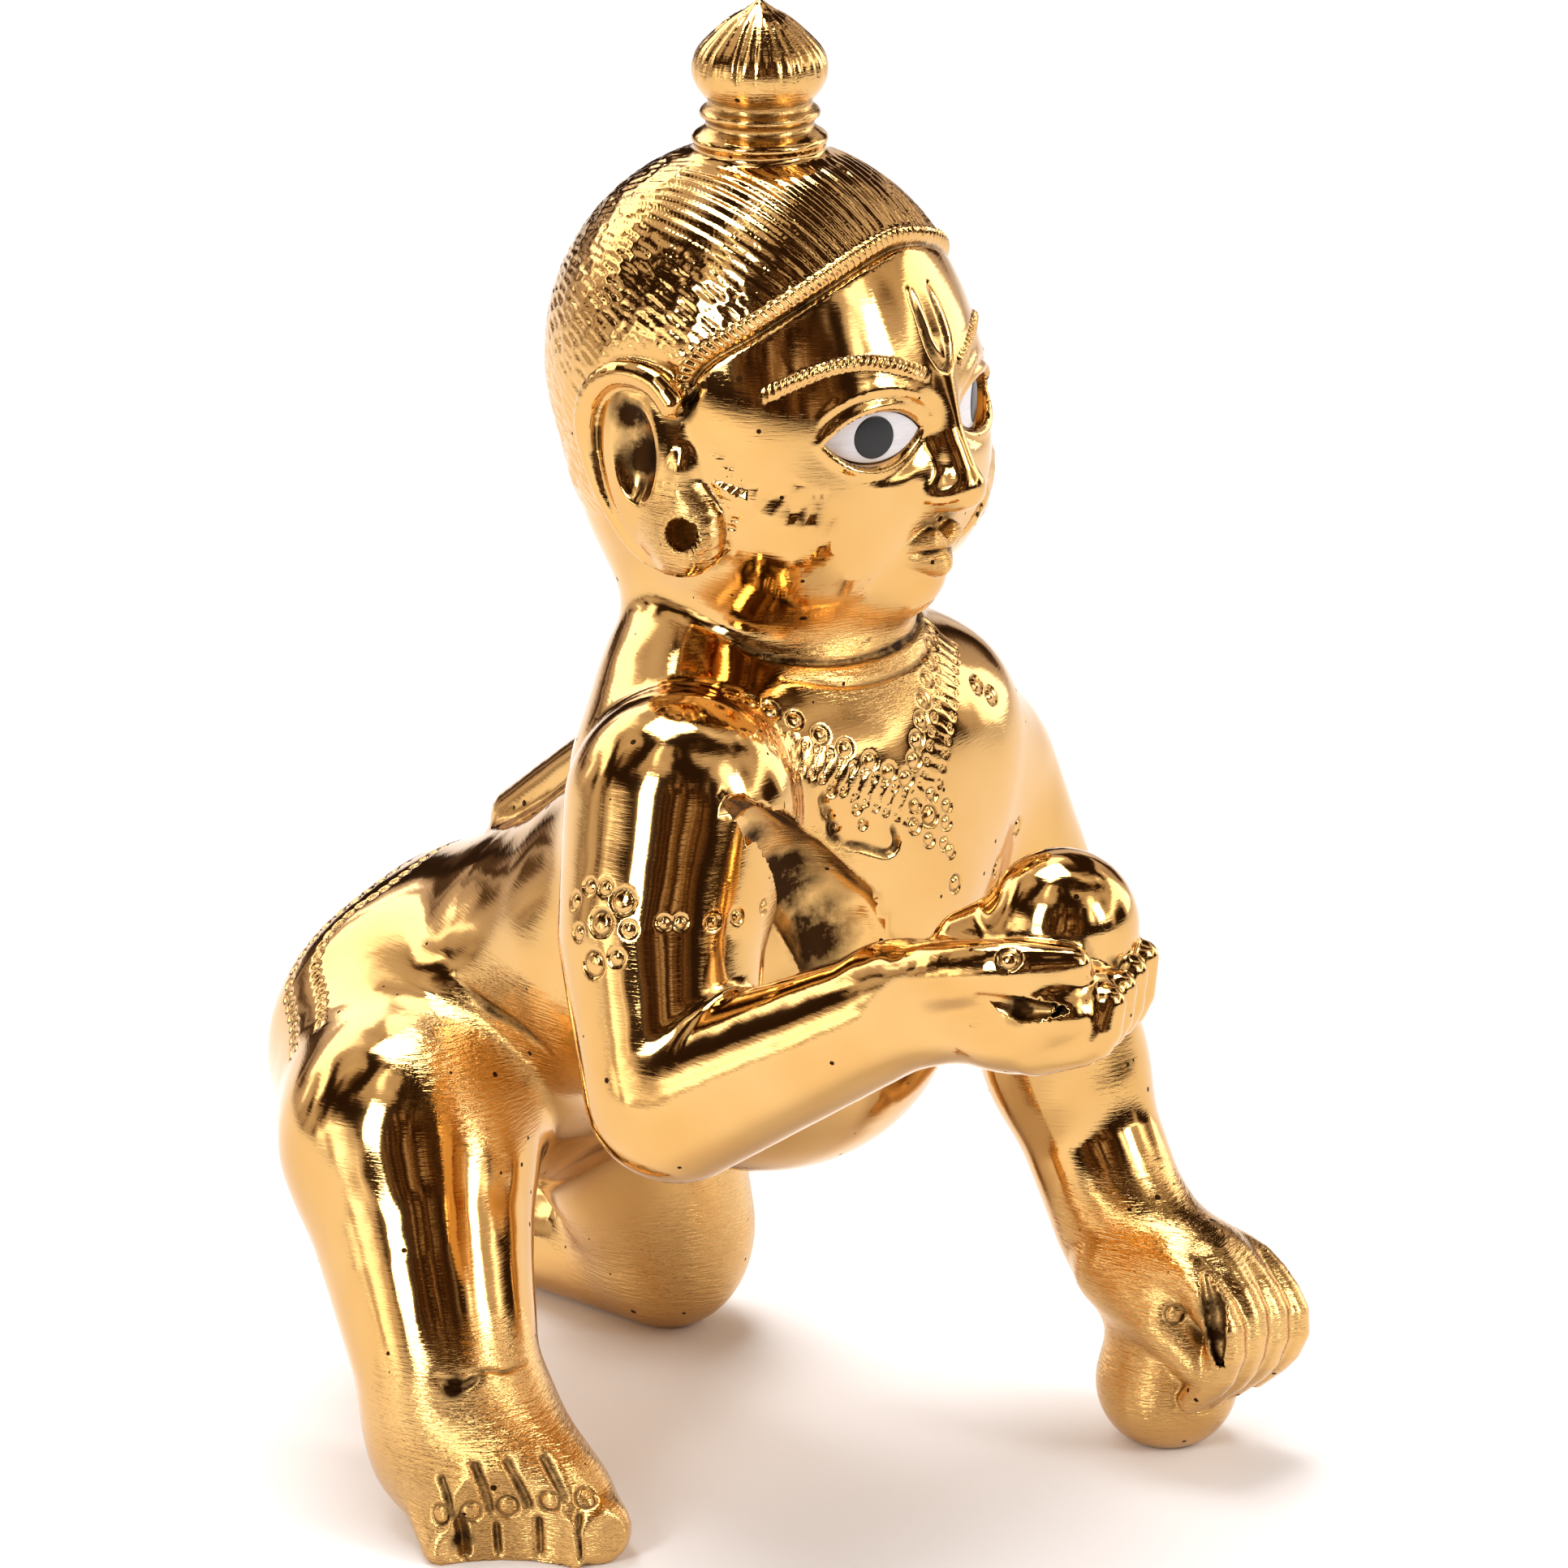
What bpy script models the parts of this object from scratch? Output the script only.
"""A crawling Laddu Gopal: one solid brass casting with two inlaid eyes. It rests on its right foot,
its left knee and shin, and the sweet ball under its left hand. Metres, +Z up. The figure faces -Y
and its left side is +X. Pose, proportions and carving are shares of the figure's height."""

import math

import bmesh
import bpy
from mathutils import Matrix, Vector
from mathutils.bvhtree import BVHTree

FIGURE_HEIGHT = 0.102
UNIT = FIGURE_HEIGHT / 102

# The inlaid eyes: almond plates, each in a pocket of the same outline
EYE_LENGTH = 0.0072
EYE_WIDTH = 0.0034
EYE_DEPTH = 0.0018
EYE_DOME_RADIUS = 0.0085
EYE_CLEARANCE = 0.0003
EYE_PROUD = 0.0002

# Sizes of the hand-worked details
SWEET_RADIUS = 0.0049
SWEET_FLAT = 0.00065
EAR_HOLE_RADIUS = 0.0009
HAIR_GROOVE = 0.00032
HAIR_STROKES = 20
FLUTES = 8
HAIR_BAND_RADIUS = 0.0005
BROW_RADIUS = 0.0004
CREASE_RADIUS = 0.00035
PUNCH_RADIUS = 0.0006
PUNCH_DEPTH = 0.0004
TOE_SLOT = 0.0003

# How finely the casting is meshed
SKIN_VOXEL = 0.00048
SKIN_SMOOTHING = 6
SKIN_TRIANGLES = 4300

HEAD_TURN = math.radians(8)
SKULL = Vector((0, 9.6, 77.5))
HEAD = Matrix.Translation(SKULL) @ Matrix.Rotation(HEAD_TURN, 4, "Z")

# Bodies of revolution of the trunk and head: centre and half sizes
TRUNK = {
    "chest": ((0, 7.0, 45.0), (15.0, 12.5, 13.0)),
    "collar bones": ((0, 6.0, 53.5), (14.5, 9.0, 6.0)),
    "stomach": ((0, 8.6, 39.5), (13.8, 12.2, 11.5)),
    "belly": ((0, 9.0, 32.5), (12.8, 12.0, 10.8)),
    "flanks": ((0, 18.0, 35.5), (13.8, 10.5, 11.0)),
    "waist": ((0, 26.5, 30.8), (13.6, 10.5, 10.2)),
    "rump": ((0, 36.0, 25.0), (15.2, 11.0, 11.4)),
    "right palm": ((-16.0, -26.9, 45.0), (4.4, 7.0, 3.5)),
    "left fist": ((21.6, -8.8, 11.5), (5.4, 6.8, 4.6)),
}

# Round limbs: joints from one end to the other, each a place and a radius
LIMBS = {
    "back": [(0, 10, 41, 12.0), (0, 24, 32.0, 10.6), (0, 34, 26.5, 11.0)],
    "neck": [(0, 8.5, 66, 7.6), (0, 7.4, 53, 9.4)],
    "shoulders": [(-9.5, 5.5, 51.5, 8.2), (9.0, 5.5, 49.5, 8.2)],
    "right upper arm": [(-15.6, 1.5, 52.0, 7.6), (-19.3, -0.3, 44.7, 6.7), (-22.0, -3.6, 35.5, 5.5)],
    "right forearm": [(-22.0, -4.7, 35.2, 5.3), (-18.0, -20.5, 44.5, 4.0)],
    "right thumb": [(-19.6, -21.8, 46.6, 2.0), (-19.3, -26.0, 48.6, 1.9), (-17.6, -30.2, 49.2, 1.6)],
    "left upper arm": [(14.4, 6, 46, 7.4), (18.6, 3.6, 36.5, 5.9), (21.8, 1.8, 25.1, 5.1)],
    "left forearm": [(21.8, 1.8, 25.1, 5.1), (22, -0.6, 19.9, 4.8), (22, -2.9, 15.7, 4.7)],
    "left thumb": [(18.4, -5.6, 12.6, 2.4), (17.9, -10.6, 10.4, 2.1), (18.6, -14.0, 7.6, 1.7)],
    "right thigh": [(-7.3, 35, 24.5, 10.4), (-16.5, 26.5, 23.2, 8.4)],
    "right shin": [(-16.5, 26.5, 23.2, 8.4), (-19.5, 21.6, 16.0, 7.0), (-21.5, 17.8, 10.0, 6.1)],
    "right instep": [(-21, 17.4, 5.4, 6.0), (-23.6, 12.4, 3.4, 4.4)],
    "right arch": [(-21, 16.6, 5.6, 5.8), (-21.3, 9.2, 3.1, 3.9)],
    "left thigh": [(8, 34, 23, 9.6), (13.0, 31.5, 8.0, 6.3)],
    "left shin": [(13.6, 32, 5.0, 5.6), (12.7, 43, 4.0, 4.3)],
    "left foot": [(12.7, 42.5, 3.8, 3.9), (12.2, 48.6, 2.9, 3.1)],
    "plait": [(0, 19.5, 66, 2.6), (0, 17.6, 57, 2.4), (0, 20.8, 49.5, 2.2), (0, 32.3, 40.6, 2.2)],
}

# Head, in the head's own frame: x to its left, y to its back, z up from the middle of the skull
HEAD_BODIES = {
    "skull": ((0, 0, 0), (13.2, 14.2, 14.2)),
    "nape": ((0, 3.4, -9.0), (9.5, 8.5, 9.0)),
    "face": ((0, -4.8, -5.0), (11.5, 9.9, 11.2)),
    "right cheek": ((-4.9, -8.4, -7.8), (5.0, 4.8, 5.0)),
    "left cheek": ((4.9, -8.4, -7.8), (5.0, 4.8, 5.0)),
    "right jaw": ((-5.2, -4.6, -10.4), (5.4, 6.6, 5.2)),
    "left jaw": ((5.2, -4.6, -10.4), (5.4, 6.6, 5.2)),
    "chin": ((0, -10.4, -13.2), (3.4, 3.5, 2.8)),
    "right ear": ((-12.6, -0.2, -4.4), (1.7, 3.7, 6.0)),
    "left ear": ((12.6, -0.2, -4.4), (1.7, 3.7, 6.0)),
    "right ear lobe": ((-13.0, -3.2, -9.0), (1.2, 2.2, 2.4)),
    "left ear lobe": ((13.0, -3.2, -9.0), (1.2, 2.2, 2.4)),
    "topknot bulb": ((0, 0, 19.2), (4.45, 4.45, 3.1)),
    "upper ring": ((0, 0, 16.3), (3.95, 3.95, 0.95)),
    "lower ring": ((0, 0, 14.6), (4.45, 4.45, 1.1)),
}
HEAD_LIMBS = {
    "nose": [(0, -13.0, -1.0, 1.1), (0, -15.0, -6.6, 1.5)],
    "right nostril": [(-1.3, -14.0, -7.0, 1.0), (-1.5, -13.7, -7.0, 0.9)],
    "left nostril": [(1.3, -14.0, -7.0, 1.0), (1.5, -13.7, -7.0, 0.9)],
    "upper lip": [(-2.4, -12.9, -9.6, 0.5), (0, -14.0, -9.4, 0.8), (2.4, -12.9, -9.6, 0.5)],
    "lower lip": [(-1.8, -12.8, -10.6, 0.5), (0, -13.6, -10.9, 0.85), (1.8, -12.8, -10.6, 0.5)],
    "topknot stem": [(0, 0, 12.0, 3.7), (0, 0, 18.0, 3.2)],
    "topknot tip": [(0, 0, 20.9, 2.3), (0, 0, 24.1, 0.45)],
}

# The rolled edge of an ear, as (y, z) from its front over the top and down its back to the lobe
EAR_RIM = [
    (-3.2, 0.2), (-1.9, 1.3), (0.2, 1.7), (2.2, 1.1), (3.7, -0.7), (4.1, -3.2),
    (3.4, -5.8), (2.1, -8.1), (0.3, -10.2), (-2.0, -11.2), (-3.9, -10.6), (-4.7, -9.2),
]
EAR_HOLLOW = (14.7, -0.2, -3.3)
LOBE_HOLE = (14.3, -3.9, -8.2)

# Directions are given by an azimuth from the face round to the back and an angle down from the crown
HAIR_START_ANGLE = 27
HAIRLINE_FRONT_ANGLE = 48
HAIRLINE_TEMPLE_ANGLE = 76
HAIRLINE_NAPE_ANGLE = 122
TEMPLE_AZIMUTH = 74
BEHIND_EAR_AZIMUTH = 108
EAR_FRONT_AZIMUTH = 79

EYE_PLACE = (5.5, -2.2)
EYE_TURN = math.radians(27)

FIVE_TOES = [(-20.4, 5.6, 2.3), (-23.1, 5.9, 1.8), (-25.2, 7.4, 1.7), (-26.6, 9.6, 1.6), (-27.4, 12.2, 1.5)]
FOOT_DIRECTION = Vector((-0.40, -0.92, 0))
FINGER_PITCH = 2.2

# Middles of the sweet balls: the one on the right palm, and the one on the floor under the left hand
HELD_SWEET = (-12.0, -28.2, 50.1)
FLOOR_SWEET = (21.7, -8.0)

# Creases round the wrists: a place in the wrist and the direction of the arm there
WRISTS = [((-18.6, -18.6, 43.4), (0.24, -0.85, 0.50)), ((22.0, -2.6, 16.6), (0, -0.5, -0.86))]


def point(place):
    """A place in the figure's own units, in metres."""
    return Vector(place) * UNIT


def head_point(place):
    return HEAD @ Vector(place)


def add_ellipsoid(skin, centre, half_sizes, turn=None):
    matrix = Matrix.Translation(point(centre)) @ (turn or Matrix()) @ Matrix.Diagonal((*point(half_sizes), 1))
    bmesh.ops.create_uvsphere(skin, u_segments=32, v_segments=20, radius=1, matrix=matrix)


def add_limb(skin, joints):
    """Round limbs, each the hull of the balls at its two ends."""
    for start, end in zip(joints[:-1], joints[1:]):
        hull = bmesh.new()
        for x, y, z, radius in (start, end):
            place = Matrix.Translation(point((x, y, z)))
            bmesh.ops.create_uvsphere(hull, u_segments=20, v_segments=12, radius=radius * UNIT, matrix=place)
        inner = bmesh.ops.convex_hull(hull, input=hull.verts)["geom_interior"]
        bmesh.ops.delete(hull, geom=[v for v in inner if isinstance(v, bmesh.types.BMVert)], context="VERTS")
        mesh = bpy.data.meshes.new("limb")
        hull.to_mesh(mesh)
        hull.free()
        skin.from_mesh(mesh)
        bpy.data.meshes.remove(mesh)


def new_object(name, mesh, collection):
    item = bpy.data.objects.new(name, mesh)
    collection.objects.link(item)
    return item


def evaluated_mesh(item):
    bpy.context.view_layer.update()
    graph = bpy.context.evaluated_depsgraph_get()
    return bpy.data.meshes.new_from_object(item.evaluated_get(graph))


def bake(item):
    """The object's modifiers made real."""
    mesh = evaluated_mesh(item)
    item.modifiers.clear()
    item.data = mesh
    return item


def toe_limbs():
    """Each toe runs forward from the foot, and ends over the floor."""
    back = point(-FOOT_DIRECTION) / UNIT * 4.5
    return [[(x + back.x, y + back.y, 3.2, r), (x, y, r - 0.6, r)] for x, y, r in FIVE_TOES]


def right_finger_limbs():
    """Four fingers side by side, curling up in front of the ball on the right palm."""
    forward, across = Vector((0.40, -0.91, 0)), Vector((0.91, 0.40, 0))
    limbs = []
    for index in range(4):
        root = Vector((-14.2, -29.6, 43.9)) + across * (index - 1.5) * FINGER_PITCH
        middle = root + forward * 3.4 + Vector((0, 0, 0.7))
        tip = middle + forward * 1.0 + Vector((0, 0, 2.6))
        limbs.append([(*root, 1.35), (*middle, 1.2), (*tip, 1.0)])
    return limbs


def left_finger_limbs():
    """Four fingers side by side, curling down over the front of the ball on the floor."""
    limbs = []
    for index in range(4):
        x = 18.6 + index * FINGER_PITCH
        limbs.append([(x, -11.6, 14.3, 1.35), (x, -15.7, 12.8, 1.35), (x, -16.2, 7.4, 1.15)])
    return limbs


def ear_rim(side):
    """The rolled edge of an ear, round its back from the top to the lobe."""
    return [(side * 13.8, y, z, 0.85) for y, z in EAR_RIM]


def to_world(joints):
    return [(*head_point(joint[:3]), joint[3]) for joint in joints]


def cast_skin(collection):
    """The whole figure as one closed skin, before it is engraved."""
    skin = bmesh.new()
    for centre, half_sizes in TRUNK.values():
        add_ellipsoid(skin, centre, half_sizes)
    turn = Matrix.Rotation(HEAD_TURN, 4, "Z")
    for centre, half_sizes in HEAD_BODIES.values():
        add_ellipsoid(skin, head_point(centre), half_sizes, turn)
    sweet = (SWEET_RADIUS / UNIT,) * 3
    add_ellipsoid(skin, HELD_SWEET, sweet)
    add_ellipsoid(skin, (*FLOOR_SWEET, (SWEET_RADIUS - SWEET_FLAT) / UNIT), sweet)
    limbs = [*LIMBS.values(), *toe_limbs(), *right_finger_limbs(), *left_finger_limbs()]
    limbs += [to_world(joints) for joints in HEAD_LIMBS.values()]
    limbs += [to_world(ear_rim(side)) for side in (-1, 1)]
    for joints in limbs:
        add_limb(skin, joints)
    mesh = bpy.data.meshes.new("idol")
    skin.to_mesh(mesh)
    skin.free()
    idol = new_object("idol", mesh, collection)
    remesh = idol.modifiers.new("Skin", "REMESH")
    remesh.mode = "VOXEL"
    remesh.voxel_size = SKIN_VOXEL
    smooth = idol.modifiers.new("Smooth", "SMOOTH")
    smooth.factor = 0.5
    smooth.iterations = SKIN_SMOOTHING
    bake(idol)
    thin = idol.modifiers.new("Thin", "DECIMATE")
    thin.ratio = SKIN_TRIANGLES / (2 * len(idol.data.polygons))
    return bake(idol)


def surface_of(idol):
    """A search tree over the skin, for placing carving on it."""
    shape = bmesh.new()
    shape.from_mesh(idol.data)
    tree = BVHTree.FromBMesh(shape)
    shape.free()
    return tree


def hit(surface, start, direction):
    """Where a line from start first meets the skin, and the skin's normal there."""
    place, normal, _, _ = surface.ray_cast(start, direction.normalized())
    return place, normal


def head_direction(azimuth, angle):
    """A direction from the middle of the skull, in degrees round from the face and down from the crown."""
    a, t = math.radians(azimuth) + HEAD_TURN, math.radians(angle)
    return Vector((math.sin(t) * math.sin(a), -math.sin(t) * math.cos(a), math.cos(t)))


def on_head(surface, azimuth, angle):
    out = head_direction(azimuth, angle)
    return hit(surface, point(SKULL + out * 26), -out)


def hairline_angle(azimuth):
    """How far down from the crown the hair ends, by azimuth."""
    turn = abs((azimuth + 180) % 360 - 180)
    if turn <= TEMPLE_AZIMUTH:
        share = (turn / TEMPLE_AZIMUTH) ** 1.6
        return HAIRLINE_FRONT_ANGLE + share * (HAIRLINE_TEMPLE_ANGLE - HAIRLINE_FRONT_ANGLE)
    share = min(1, (turn - TEMPLE_AZIMUTH) / (BEHIND_EAR_AZIMUTH - TEMPLE_AZIMUTH))
    return HAIRLINE_TEMPLE_ANGLE + share * (HAIRLINE_NAPE_ANGLE - HAIRLINE_TEMPLE_ANGLE)


def lines_to_mesh(name, lines, radius):
    """Thin four-sided rods along the lines, as one mesh."""
    curve = bpy.data.curves.new(name, "CURVE")
    curve.dimensions = "3D"
    curve.bevel_depth = radius
    curve.bevel_resolution = 0
    curve.use_fill_caps = True
    for line in lines:
        spline = curve.splines.new("POLY")
        spline.points.add(len(line) - 1)
        for knot, place in zip(spline.points, line):
            knot.co = (*place, 1)
    return curve_to_mesh(name, curve)


def curve_to_mesh(name, curve):
    guide = bpy.data.objects.new(name, curve)
    bpy.context.scene.collection.objects.link(guide)
    mesh = evaluated_mesh(guide)
    bpy.data.objects.remove(guide)
    shape = bmesh.new()
    shape.from_mesh(mesh)
    bmesh.ops.remove_doubles(shape, verts=shape.verts, dist=1e-6)
    bmesh.ops.recalc_face_normals(shape, faces=shape.faces)
    shape.to_mesh(mesh)
    shape.free()
    return mesh


def hair_lines(surface):
    """Combed strokes from the topknot down to the hairline."""
    lines = []
    for index in range(HAIR_STROKES):
        azimuth = 360 * (index + 0.5) / HAIR_STROKES
        end = hairline_angle(azimuth) - 5
        steps = math.ceil((end - HAIR_START_ANGLE) / 19)
        angles = [HAIR_START_ANGLE + (end - HAIR_START_ANGLE) * step / steps for step in range(steps + 1)]
        line = []
        for step, angle in enumerate(angles):
            wave = 3.0 * math.sin(step * 2.2) * (0 if abs((azimuth + 180) % 360 - 180) < 60 else 1)
            line.append(on_head(surface, azimuth + wave, angle)[0])
        lines.append(line)
    return lines


def flute_lines(surface):
    """Strokes down the bulb of the topknot."""
    lines = []
    for index in range(FLUTES):
        a = 2 * math.pi * index / FLUTES
        out = Vector((math.cos(a), math.sin(a), 0))
        line = []
        for height in (21.9, 20.6, 19.2, 17.6):
            start = point(head_point((0, 0, height)) + out * 12)
            line.append(hit(surface, start, -out)[0])
        lines.append(line)
    return lines


def hairline(surface):
    """The rope border of the hair, from one ear over the forehead to the other."""
    steps = 22
    line = []
    for step in range(steps + 1):
        azimuth = -EAR_FRONT_AZIMUTH + 2 * EAR_FRONT_AZIMUTH * step / steps
        line.append(on_head(surface, azimuth, hairline_angle(azimuth))[0])
    return line


def brow(surface, side):
    """A raised arch over an eye."""
    line = []
    for step in range(8):
        azimuth = 7 + step * 6.6
        angle = 87 - 7 * math.sin(math.pi * (step + 0.8) / 8.5)
        line.append(on_head(surface, side * azimuth, angle)[0])
    return line


def forehead_mark(surface):
    """The U-shaped mark between the brows."""
    rows = [(-4.2, 66), (-4.0, 74), (-2.6, 82), (0, 84), (2.6, 82), (4.0, 74), (4.2, 66)]
    return [on_head(surface, azimuth, angle)[0] for azimuth, angle in rows]


def toe_slots(surface):
    """The slots between the toes, cut from above."""
    lines = []
    for (x1, y1, _), (x2, y2, _) in zip(FIVE_TOES[:-1], FIVE_TOES[1:]):
        front = Vector(((x1 + x2) / 2, (y1 + y2) / 2, 0)) + FOOT_DIRECTION * 1.2
        line = []
        for back in (1.0, 3.0, 5.0):
            start = point(front - FOOT_DIRECTION * back + Vector((0, 0, 16)))
            line.append(hit(surface, start, Vector((0, 0, -1)))[0])
        lines.append(line)
    return lines


def finger_slots(surface):
    """The slots between the fingers of the left hand, cut from the front."""
    lines = []
    for index in range(3):
        x = 18.6 + (index + 0.5) * FINGER_PITCH
        line = []
        for z in (13.6, 10.6, 7.6):
            line.append(hit(surface, point((x, -26, z + 2.5)), Vector((0, 1, -0.25)))[0])
        lines.append(line)
    return lines


def ring_around(surface, centre, axis, count):
    """A closed line round a limb, where rays from its axis leave the skin."""
    axis = Vector(axis).normalized()
    side = axis.orthogonal().normalized()
    line = []
    for index in range(count + 1):
        out = Matrix.Rotation(2 * math.pi * index / count, 3, axis) @ side
        line.append(hit(surface, point(Vector(centre) + out * 9.5), -out)[0])
    return line


def necklace_places(surface):
    """Places along a V from the sides of the neck down to the breast, and those of its pendant."""
    right, low, left = Vector((-11, 5.3, 59.1)), Vector((0, -5.0, 51.8)), Vector((10.5, 4.0, 57.6))
    ways = [right.lerp(low, step / 9) for step in range(9)] + [low.lerp(left, step / 9) for step in range(10)]
    ways += [low + Vector((x, 0, z)) for x, z in ((0, -1.6), (-0.9, -2.8), (0.9, -2.8), (0, -4.0))]
    inside = Vector((0, 8.0, 50.0))
    return [hit(surface, point(way + (way - inside)), inside - way) for way in ways]


def punches(name, places):
    """Small cone-shaped pits, one at each place."""
    shape = bmesh.new()
    for place, normal in places:
        turn = normal.to_track_quat("Z", "Y").to_matrix().to_4x4()
        matrix = Matrix.Translation(place + normal * (PUNCH_DEPTH * 0.5)) @ turn
        bmesh.ops.create_cone(shape, cap_ends=True, segments=7, radius1=PUNCH_RADIUS * 0.25,
                              radius2=PUNCH_RADIUS, depth=3 * PUNCH_DEPTH, matrix=matrix)
    mesh = bpy.data.meshes.new(name)
    shape.to_mesh(mesh)
    shape.free()
    return mesh


def almond(name, length, width, depth):
    """A flat almond outline, two arcs that meet in points, as a plate in the XY plane."""
    radius = (length**2 + width**2) / (4 * width)
    half_angle = math.asin(length / (2 * radius))
    arc = [half_angle * (1 - step / 4) for step in range(8)]
    upper = [(radius * math.sin(a), radius * math.cos(a) - radius + width / 2) for a in arc]
    outline = upper + [(-x, -y) for x, y in upper]
    curve = bpy.data.curves.new(name, "CURVE")
    curve.dimensions = "2D"
    curve.fill_mode = "BOTH"
    curve.extrude = depth / 2
    spline = curve.splines.new("POLY")
    spline.points.add(len(outline) - 1)
    for knot, (x, y) in zip(spline.points, outline):
        knot.co = (x, y, 0, 1)
    spline.use_cyclic_u = True
    return curve_to_mesh(name, curve)


def eye_matrix(surface, side):
    """The eye's own frame: X along the lid, Y up, Z out of the face."""
    x, z = EYE_PLACE
    start = point(head_point((side * x, -30, z)))
    place, _ = hit(surface, start, HEAD.to_3x3() @ Vector((0, 1, 0)))
    turn = Matrix.Rotation(HEAD_TURN + side * EYE_TURN, 4, "Z") @ Matrix.Rotation(math.radians(90), 4, "X")
    return Matrix.Translation(place) @ turn


def make_eye(name, frame, collection, cutters):
    """The domed plate of one eye, and the pocket that it sits in."""
    middle = frame @ Matrix.Translation((0, 0, EYE_PROUD - EYE_DEPTH / 2))
    plate = new_object(name, almond(name, EYE_LENGTH, EYE_WIDTH, EYE_DEPTH + 0.002), collection)
    plate.data.transform(middle @ Matrix.Translation((0, 0, 0.001)))
    dome = bmesh.new()
    centre = frame @ Matrix.Translation((0, 0, EYE_PROUD - EYE_DOME_RADIUS))
    bmesh.ops.create_uvsphere(dome, u_segments=24, v_segments=14, radius=EYE_DOME_RADIUS, matrix=centre)
    mesh = bpy.data.meshes.new(name + "_dome")
    dome.to_mesh(mesh)
    dome.free()
    ball = hidden(new_object(name + "_dome", mesh, cutters))
    cut(plate, ball, "INTERSECT")
    reach = 2 * EYE_CLEARANCE
    pocket_mesh = almond(name + "_pocket", EYE_LENGTH + 2 * reach, EYE_WIDTH + reach, EYE_DEPTH + 0.004)
    pocket = hidden(new_object(name + "_pocket", pocket_mesh, cutters))
    pocket.data.transform(middle @ Matrix.Translation((0, 0, 0.002 - EYE_CLEARANCE)))
    return plate, pocket


def hidden(item):
    item.hide_render = True
    item.display_type = "WIRE"
    return item


def cut(item, tool, operation="DIFFERENCE"):
    modifier = item.modifiers.new(tool.name, "BOOLEAN")
    modifier.operation = operation
    modifier.object = tool


def ear_holes():
    """The hollow of each ear, and the hole through its lobe."""
    shape = bmesh.new()
    for side in (-1, 1):
        hollow = HEAD @ Matrix.Translation((side * EAR_HOLLOW[0], *EAR_HOLLOW[1:]))
        hollow.translation *= UNIT
        sizes = Matrix.Diagonal((*point((1.6, 1.7, 3.5)), 1))
        bmesh.ops.create_uvsphere(shape, u_segments=14, v_segments=8, radius=1, matrix=hollow @ sizes)
        lobe = HEAD @ Matrix.Translation((side * LOBE_HOLE[0], *LOBE_HOLE[1:])) @ Matrix.Rotation(math.radians(90), 4, "Y")
        lobe.translation *= UNIT
        bmesh.ops.create_cone(shape, cap_ends=True, segments=12, radius1=EAR_HOLE_RADIUS,
                              radius2=EAR_HOLE_RADIUS, depth=5 * UNIT, matrix=lobe)
    mesh = bpy.data.meshes.new("ear_holes")
    shape.to_mesh(mesh)
    shape.free()
    return mesh


def floor_block():
    """All that lies under the floor."""
    block = bmesh.new()
    size = 2 * FIGURE_HEIGHT
    bmesh.ops.create_cube(block, size=size, matrix=Matrix.Translation((0, 0, -size / 2)))
    mesh = bpy.data.meshes.new("floor")
    block.to_mesh(mesh)
    block.free()
    return mesh


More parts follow.
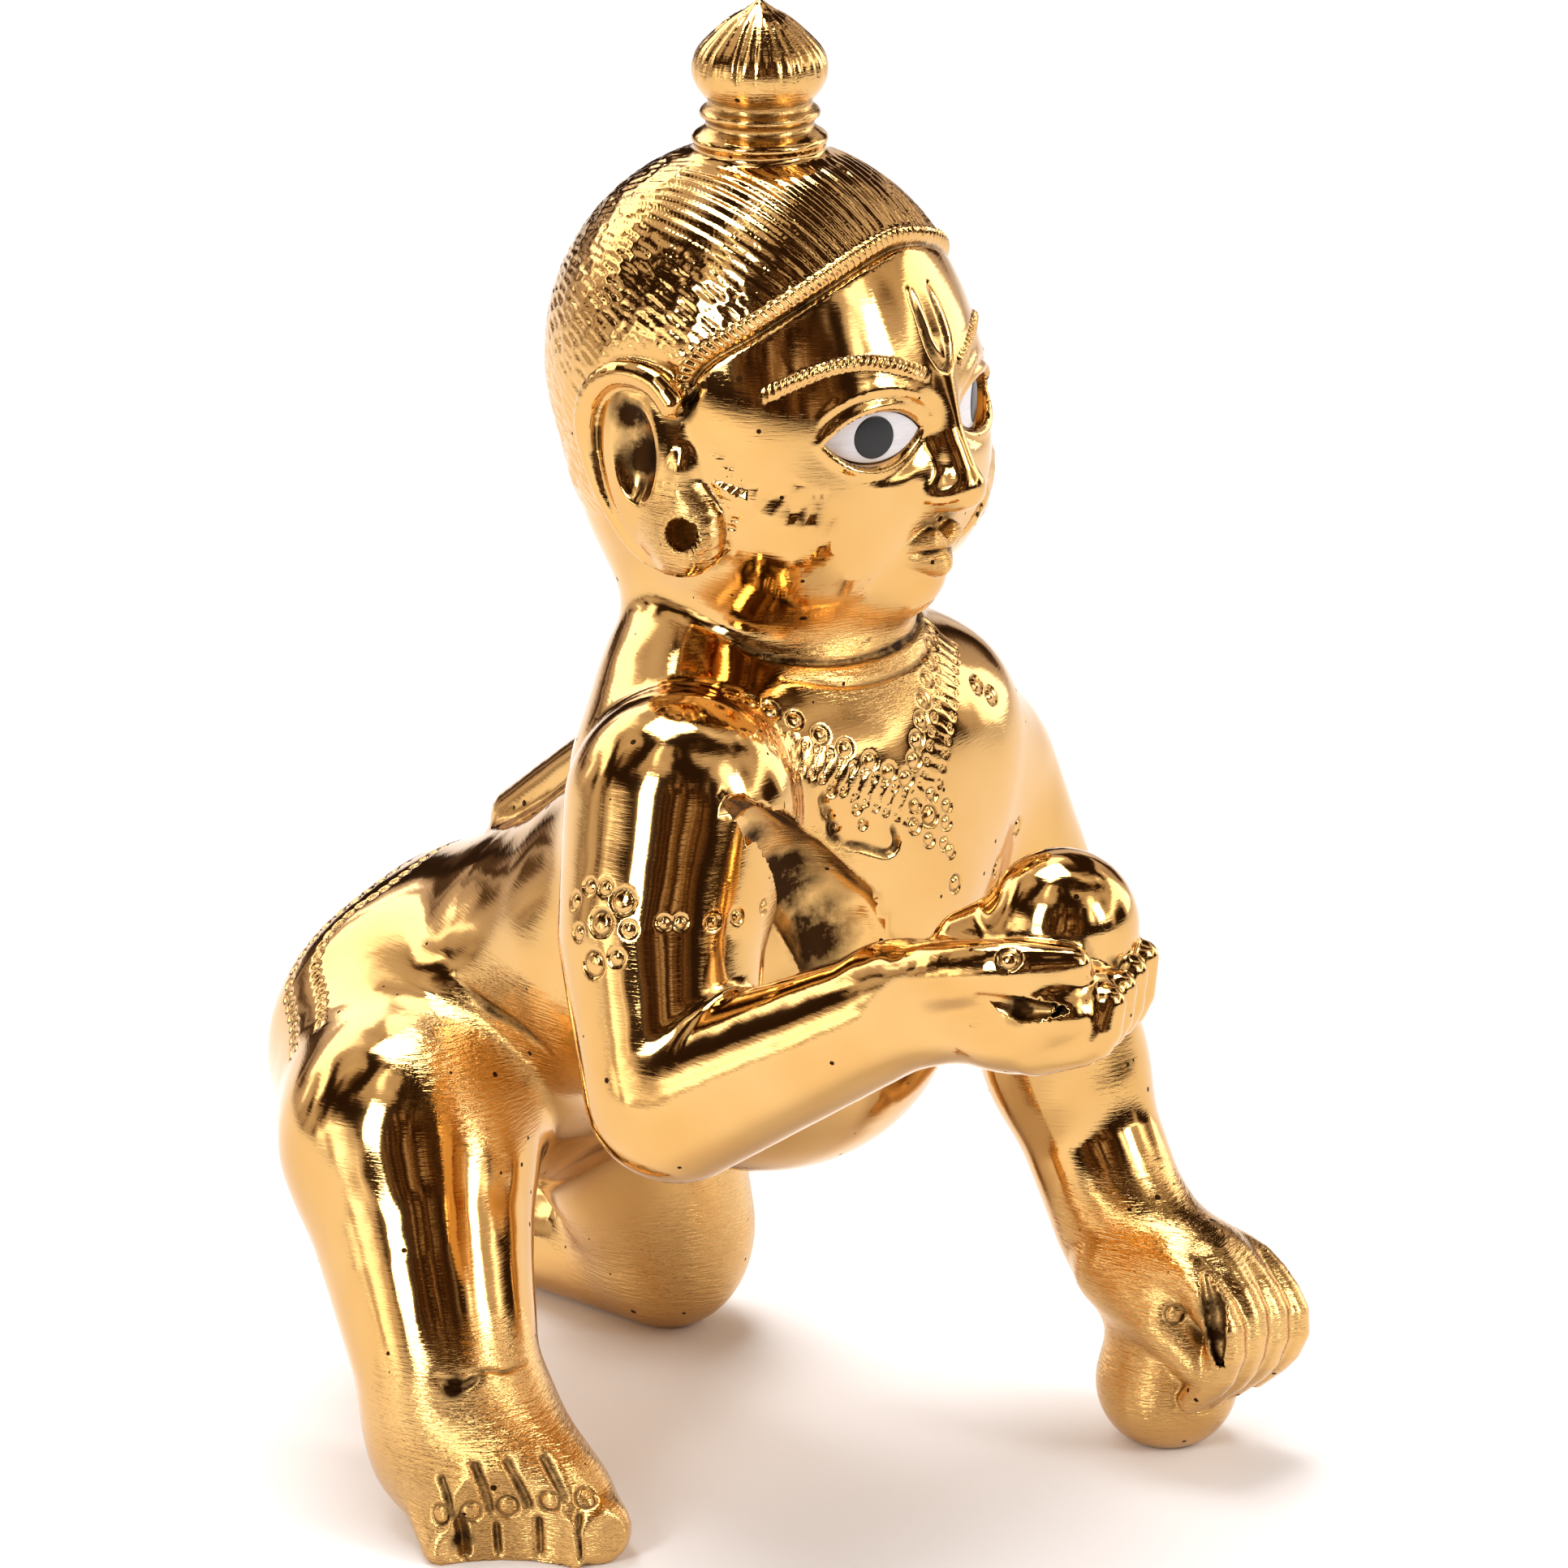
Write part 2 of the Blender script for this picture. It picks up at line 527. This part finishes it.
def engrave(idol, surface, cutters):
    """Every groove, slot and punched pit, cut into the skin one kind after another."""
    creases = [ring_around(surface, wrist, along, 12)[:-1] for wrist, along in WRISTS]
    work = {
        "hair_strokes": lines_to_mesh("hair_strokes", hair_lines(surface), HAIR_GROOVE),
        "topknot_flutes": lines_to_mesh("topknot_flutes", flute_lines(surface), HAIR_GROOVE),
        "forehead_mark": lines_to_mesh("forehead_mark", [forehead_mark(surface)], HAIR_GROOVE),
        "toe_slots": lines_to_mesh("toe_slots", toe_slots(surface), TOE_SLOT),
        "finger_slots": lines_to_mesh("finger_slots", finger_slots(surface), TOE_SLOT),
        "wrist_creases": lines_to_mesh("wrist_creases", creases, CREASE_RADIUS),
        "necklace": punches("necklace", necklace_places(surface)),
        "ear_holes": ear_holes(),
        "floor": floor_block(),
    }
    for name, mesh in work.items():
        cut(idol, hidden(new_object(name, mesh, cutters)))


def add_raised_work(idol, surface, cutters):
    """The rope border of the hair and the brows, joined to the skin."""
    band = lines_to_mesh("hair_band", [hairline(surface)], HAIR_BAND_RADIUS)
    brows = lines_to_mesh("brows", [brow(surface, -1), brow(surface, 1)], BROW_RADIUS)
    for name, mesh in (("hair_band", band), ("brows", brows)):
        cut(idol, hidden(new_object(name, mesh, cutters)), "UNION")


def material(name, colour, metallic, roughness):
    made = bpy.data.materials.new(name)
    made.use_nodes = True
    shader = made.node_tree.nodes["Principled BSDF"]
    shader.inputs["Base Color"].default_value = (*colour, 1)
    shader.inputs["Metallic"].default_value = metallic
    shader.inputs["Roughness"].default_value = roughness
    return made


def stand_on_origin(items):
    """Moves everything sideways, so that the origin is under the middle of the figure's box."""
    box = [corner for item in items for corner in (v.co for v in item.data.vertices)]
    shift = Vector([-(min(c[axis] for c in box) + max(c[axis] for c in box)) / 2 for axis in (0, 1)] + [0])
    for item in items:
        item.data.transform(Matrix.Translation(shift))


def main():
    for item in list(bpy.data.objects):
        bpy.data.objects.remove(item)
    parts = bpy.data.collections.new("LadduGopal")
    cutters = bpy.data.collections.new("Cutters")
    bpy.context.scene.collection.children.link(parts)
    bpy.context.scene.collection.children.link(cutters)
    idol = cast_skin(parts)
    surface = surface_of(idol)
    add_raised_work(idol, surface, cutters)
    engrave(idol, surface, cutters)
    eyes = []
    for name, side in (("eye_right", -1), ("eye_left", 1)):
        plate, pocket = make_eye(name, eye_matrix(surface, side), parts, cutters)
        cut(idol, pocket)
        eyes.append(plate)
    for item in (idol, *eyes):
        bake(item)
    stand_on_origin([idol, *eyes])
    idol.data.materials.append(material("CastBrass", (0.83, 0.58, 0.22), 1.0, 0.14))
    eye_white = material("EyeShell", (0.85, 0.84, 0.82), 0.0, 0.3)
    for eye in eyes:
        eye.data.materials.clear()
        eye.data.materials.append(eye_white)
    idol.data.shade_smooth()
    idol.data.set_sharp_from_angle(angle=math.radians(40))


main()
